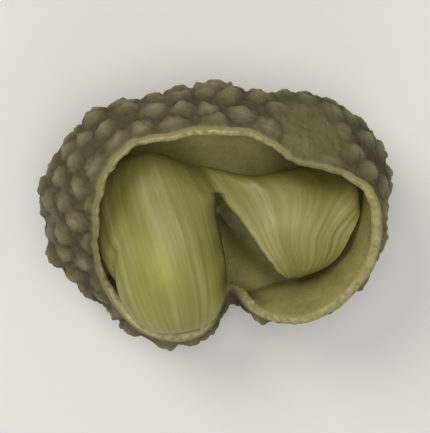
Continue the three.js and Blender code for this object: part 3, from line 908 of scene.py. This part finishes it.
def bare_inner_wall(settings):
    """The rind's inner side, bare where the lining has come away: smooth, tan olive, with a faint shine."""
    material, tree, where, marks = start_material("bare_inner_wall", ("rimward", "stain"))
    # Clouds most of a millimetre across, and cells of nearly a tenth.
    cloud = add_node(
        tree, "ShaderNodeTexNoise", {"Vector": where, "Scale": per(0.8), "Detail": 4.0}
    ).outputs["Fac"]
    cells = add_node(
        tree, "ShaderNodeTexNoise", {"Vector": where, "Scale": per(0.08), "Detail": 3.0}
    ).outputs["Fac"]
    level = add_node(tree, "ShaderNodeMath", {0: cells, 1: 0.4, 2: cloud}, operation="MULTIPLY_ADD").outputs[0]
    shade = add_node(
        tree, "ShaderNodeValToRGB", {"Fac": level}, stops=[(0.45, "#b9b9b0"), (0.95, "#ffffff")]
    ).outputs["Color"]
    # Paler below than by the rim: the inside's own pale tone, lifted further in the depths as painted light
    # where the hollow lies in shade.
    depth = add_node(
        tree,
        "ShaderNodeValToRGB",
        {"Fac": marks["rimward"]},
        stops=[
            (0.0, "#c6bf76"),
            (0.16, "#d9d18c"),
            (0.4, "#d0c884"),
            (0.64, "#bdb572"),
            (0.86, "#a19a5e"),
            (0.98, "#a69f66"),
        ],
    ).outputs["Color"]
    colour = add_node(
        tree,
        "ShaderNodeMix",
        {"Factor": 1.0, BELOW: depth, ABOVE: shade},
        data_type="RGBA",
        blend_type="MULTIPLY",
    ).outputs[MIXED]
    # Painted shade along the slit and under the right lobe's lower edge.
    stain = add_node(tree, "ShaderNodeMath", {0: marks["stain"], 1: 0.75}, operation="MULTIPLY").outputs[0]
    colour = add_node(
        tree,
        "ShaderNodeMix",
        {"Factor": stain, BELOW: colour, ABOVE: [*settings.stain_colour, 1.0]},
        data_type="RGBA",
    ).outputs[MIXED]
    bump = add_node(
        tree, "ShaderNodeBump", {"Height": cells, "Strength": 0.5, "Distance": 0.01 * MM}
    ).outputs["Normal"]
    shader = add_node(
        tree,
        "ShaderNodeBsdfPrincipled",
        {
            "Base Color": colour,
            "Roughness": 0.5,
            "Normal": bump,
            "IOR": 1.46,
            "Subsurface Weight": 0.3,
            "Subsurface Radius": (0.4, 0.36, 0.12),
            "Subsurface Scale": 1.0 * MM,
        },
    )
    add_node(tree, "ShaderNodeOutputMaterial", {"Surface": shader.outputs["BSDF"]})
    return material


def parchment(settings):
    """The fruit's parchment layer, dried thin as paper: satin, a little see-through, with lines along it."""
    material, tree, where, marks = start_material(
        "parchment", ("along", "across", "edge", "lit_spot", "hood_shade", "slit", "under")
    )
    # Streaks run along each lobe: a sheet 3.3 mm across has one about every 0.12 mm.
    drift = add_node(tree, "ShaderNodeMath", {0: marks["along"], 1: 0.035}, operation="MULTIPLY").outputs[0]
    lines = add_node(tree, "ShaderNodeCombineXYZ", {"X": marks["across"], "Y": drift}).outputs[0]
    streak = add_node(
        tree, "ShaderNodeTexNoise", {"Vector": lines, "Scale": STREAKS, "Detail": 3.0, "Roughness": 0.6}
    ).outputs["Fac"]
    # Clouds where it dried thinner, about a millimetre across.
    cloud = add_node(
        tree, "ShaderNodeTexNoise", {"Vector": where, "Scale": per(0.9), "Detail": 3.0}
    ).outputs["Fac"]
    level = add_node(
        tree, "ShaderNodeMath", {0: cloud, 1: 0.6, 2: streak}, operation="MULTIPLY_ADD"
    ).outputs[0]
    colour = add_node(
        tree,
        "ShaderNodeValToRGB",
        {"Fac": level},
        stops=[(0.5, "#7d7838"), (0.75, "#908b48"), (0.95, "#9f985a"), (1.0, "#aea56c")],
    ).outputs["Color"]
    lit_spot = add_node(tree, "ShaderNodeMath", {0: marks["lit_spot"], 1: 0.55}, operation="MULTIPLY").outputs[0]
    # The lobes' backs are painted darker and greener, as shade under the rim.
    stern = add_node(
        tree,
        "ShaderNodeMapRange",
        {"Value": marks["along"], "From Min": 0.5, "From Max": 0.12, "To Max": 0.75},
    ).outputs["Result"]
    hood_shade = add_node(tree, "ShaderNodeMath", {0: marks["hood_shade"], 1: 0.85}, operation="MULTIPLY").outputs[0]
    for share, over in (
        (marks["edge"], [*settings.edge_colour, 1.0]),
        (lit_spot, linear("#aaa448")),  # painted highlight, yellow, on the left lobe
        (stern, linear("#706e32")),  # painted shade, greener and darker, at the back where the lobes pass under the rim
        (hood_shade, linear("#504b17")),  # painted shade in a band where the wall leans over it
        (marks["slit"], linear("#403c18")),  # painted shade along the slit
        (marks["under"], linear("#8a8840")),  # one even tone below
    ):
        colour = add_node(
            tree, "ShaderNodeMix", {"Factor": share, BELOW: colour, ABOVE: over}, data_type="RGBA"
        ).outputs[MIXED]
    bump = add_node(
        tree, "ShaderNodeBump", {"Height": streak, "Strength": 0.6, "Distance": 0.015 * MM}
    ).outputs["Normal"]
    shader = add_node(
        tree,
        "ShaderNodeBsdfPrincipled",
        {
            "Base Color": colour,
            "Roughness": 0.46,
            "Normal": bump,
            "IOR": 1.48,
            "Subsurface Weight": 0.2,
            "Subsurface Radius": (0.2, 0.18, 0.06),
            "Subsurface Scale": 1.0 * MM,
        },
    )
    add_node(tree, "ShaderNodeOutputMaterial", {"Surface": shader.outputs["BSDF"]})
    return material


def matt_paper(settings):
    """Seamless background paper, rolled matt: an even pale ground with no shine of its own."""
    material, tree, where, _ = start_material("matt_paper")
    tooth = add_node(
        tree, "ShaderNodeTexNoise", {"Vector": where, "Scale": per(0.4), "Detail": 2.0}
    ).outputs["Fac"]
    bump = add_node(
        tree, "ShaderNodeBump", {"Height": tooth, "Strength": 0.1, "Distance": 0.01 * MM}
    ).outputs["Normal"]
    shader = add_node(
        tree,
        "ShaderNodeBsdfPrincipled",
        {"Base Color": [*settings.floor_colour, 1.0], "Roughness": 0.9, "Normal": bump},
    )
    add_node(tree, "ShaderNodeOutputMaterial", {"Surface": shader.outputs["BSDF"]})
    return material


def make_piece(name, points, faces, attributes, materials, indices=None):
    """A smooth piece of mesh, with its materials, each face's material if given, and its marks."""
    mesh = bpy.data.meshes.new(name)
    mesh.from_pydata((points * MM).tolist(), [], faces)
    for material in materials:
        mesh.materials.append(material)
    mesh.polygons.foreach_set("use_smooth", np.ones(len(mesh.polygons), bool))
    if indices is not None:
        mesh.polygons.foreach_set("material_index", np.array(indices, dtype=np.int32))
    for key, values in attributes.items():
        made = mesh.attributes.new(key, "FLOAT", "POINT")
        made.data.foreach_set("value", np.asarray(values, dtype=np.float32))
    mesh.update()
    piece = bpy.data.objects.new(name, mesh)
    bpy.context.scene.collection.objects.link(piece)
    return piece


# What every property that holds a colour is given.
COLOUR = {"size": 3, "subtype": "COLOR"}


class HuskSettings(bpy.types.PropertyGroup):
    """Sizes and colours of the husk"""

    gland_height: FloatProperty(
        name="Gland height",
        description="How far an oil gland stands out",
        default=0.155 * MM,
        unit="LENGTH",
    )
    gland_dent: FloatProperty(
        name="Gland dent",
        description="How far the crown of a gland may have sunk, as a share of its height",
        default=0.4,
        subtype="FACTOR",
    )
    net_height: FloatProperty(
        name="Net height",
        description="Height of the fine ridges between glands",
        default=0.035 * MM,
        unit="LENGTH",
    )
    rim_colour: FloatVectorProperty(
        name="Rim",
        description="Colour of the rind where it turns over at the rim",
        default=linear("#8f8858")[:3],
        **COLOUR,
    )
    # Colour of the painted shade along the slit inside the husk and under the right lobe's edge.
    stain_colour: FloatVectorProperty(
        name="Painted slit shade",
        description="Colour of the painted shade along the slit inside",
        default=linear("#5b5526")[:3],
        **COLOUR,
    )


class LiningSettings(bpy.types.PropertyGroup):
    """Sizes and colours of the lining"""

    thickness: FloatProperty(
        name="Thickness",
        description="Thickness of the parchment",
        default=0.12 * MM,
        unit="LENGTH",
    )
    stria_height: FloatProperty(
        name="Line height",
        description="Height of the lines along each lobe",
        default=0.016 * MM,
        unit="LENGTH",
    )
    edge_colour: FloatVectorProperty(
        name="Edge",
        description="Colour of the parchment's torn edges",
        default=linear("#bdb27c")[:3],
        **COLOUR,
    )


class StageSettings(bpy.types.PropertyGroup):
    """What the camera takes in, and the floor's colour"""

    view_width: FloatProperty(
        name="View width",
        description="Width that the camera takes in",
        default=6.9 * MM,
        unit="LENGTH",
    )
    lens: FloatProperty(
        name="Lens",
        description="The camera's focal length in millimetres",
        default=120.0,
    )
    floor_colour: FloatVectorProperty(
        name="Floor",
        description="Colour of the floor",
        default=linear("#e7e5df")[:3],
        **COLOUR,
    )


class PEPPERCORN_OT_husk(bpy.types.Operator):
    """Builds the warty husk in place of its frame node"""

    bl_idname = "peppercorn.husk"
    bl_label = "Build Husk"

    def execute(self, context):
        settings = context.scene.peppercorn_husk
        points, faces, indices, attributes = husk_mesh(settings)
        materials = [dried_rind(settings), torn_rim(), bare_inner_wall(settings)]
        piece = make_piece("split_husk", points, faces, attributes, materials, indices)
        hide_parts("husk")
        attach(piece, "root")
        return {"FINISHED"}


class PEPPERCORN_OT_lining(bpy.types.Operator):
    """Builds the curled parchment lining in place of its frame node"""

    bl_idname = "peppercorn.lining"
    bl_label = "Build Lining"

    def execute(self, context):
        settings = context.scene.peppercorn_lining
        points, faces, attributes = lining_mesh(settings)
        piece = make_piece("curled_lining", points, faces, attributes, [parchment(settings)])
        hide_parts("lining")
        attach(piece, "root")
        return {"FINISHED"}


def soft_light(name, direction, distance, size, energy, colour, target):
    """An area light that looks at the target from a direction, and that the camera doesn't see."""
    data = bpy.data.lights.new(name, "AREA")
    data.shape = "DISK"
    data.size = size * MM
    data.energy = energy
    data.color = colour
    light = bpy.data.objects.new(name, data)
    way = Vector(direction).normalized()
    light.location = target + way * (distance * MM)
    light.rotation_mode = "QUATERNION"
    light.rotation_quaternion = (-way).to_track_quat("-Z", "Y")
    light.visible_camera = False
    bpy.context.scene.collection.objects.link(light)


class PEPPERCORN_OT_stage(bpy.types.Operator):
    """Sets up the pale floor, the soft light and the camera"""

    bl_idname = "peppercorn.stage"
    bl_label = "Set Stage"

    def execute(self, context):
        settings = context.scene.peppercorn_stage
        reach = FLOOR_REACH * MM
        corners = [(-reach, -reach, 0), (reach, -reach, 0), (reach, reach, 0), (-reach, reach, 0)]
        mesh = bpy.data.meshes.new("floor")
        mesh.from_pydata(corners, [], [(0, 1, 2, 3)])
        mesh.materials.append(matt_paper(settings))
        floor = bpy.data.objects.new("floor", mesh)
        context.scene.collection.objects.link(floor)

        low, high = cad_box
        middle = (low + high) / 2
        for light in LIGHTS:
            soft_light(*light, middle)

        world = bpy.data.worlds.new("studio_air")
        world.use_nodes = True
        background = world.node_tree.nodes["Background"]
        background.inputs["Color"].default_value = (0.9, 0.93, 1.0, 1.0)
        background.inputs["Strength"].default_value = 0.22
        context.scene.world = world
        context.scene.view_settings.view_transform = "Standard"

        data = bpy.data.cameras.new("camera")
        data.lens = settings.lens
        data.sensor_width = 36
        # The sensor spans the picture's longer side, which is its height.
        distance = settings.view_width * PICTURE_SHAPE / data.sensor_width * data.lens
        data.clip_start = distance / 50
        data.clip_end = distance * 100
        data.dof.use_dof = False
        camera = bpy.data.objects.new("camera", data)
        camera.location = (middle.x, middle.y, high.z * VIEW_LEVEL + distance)
        context.scene.collection.objects.link(camera)
        context.scene.camera = camera
        return {"FINISHED"}


class PEPPERCORN_PT_panel(bpy.types.Panel):
    """Lists the peppercorn's pieces and its stage"""

    bl_label = "Peppercorn"
    bl_idname = "PEPPERCORN_PT_panel"
    bl_space_type = "VIEW_3D"
    bl_region_type = "UI"
    bl_category = "Peppercorn"

    def draw(self, context):
        husk_keys = ("gland_height", "gland_dent", "net_height", "rim_colour", "stain_colour")
        lining_keys = ("thickness", "stria_height", "edge_colour")
        stage_keys = ("view_width", "lens", "floor_colour")
        for operator, group, keys in (
            (PEPPERCORN_OT_husk, context.scene.peppercorn_husk, husk_keys),
            (PEPPERCORN_OT_lining, context.scene.peppercorn_lining, lining_keys),
            (PEPPERCORN_OT_stage, context.scene.peppercorn_stage, stage_keys),
        ):
            box = self.layout.box()
            for key in keys:
                box.prop(group, key)
            box.operator(operator.bl_idname)


CLASSES = (
    HuskSettings,
    LiningSettings,
    StageSettings,
    PEPPERCORN_OT_husk,
    PEPPERCORN_OT_lining,
    PEPPERCORN_OT_stage,
    PEPPERCORN_PT_panel,
)


def register():
    for cls in CLASSES:
        bpy.utils.register_class(cls)
    bpy.types.Scene.peppercorn_husk = PointerProperty(type=HuskSettings)
    bpy.types.Scene.peppercorn_lining = PointerProperty(type=LiningSettings)
    bpy.types.Scene.peppercorn_stage = PointerProperty(type=StageSettings)


def unregister():
    del bpy.types.Scene.peppercorn_stage
    del bpy.types.Scene.peppercorn_lining
    del bpy.types.Scene.peppercorn_husk
    for cls in reversed(CLASSES):
        bpy.utils.unregister_class(cls)


def main():
    register()
    bpy.ops.peppercorn.husk()
    bpy.ops.peppercorn.lining()
    bpy.ops.peppercorn.stage()


if __name__ == "__main__":
    main()
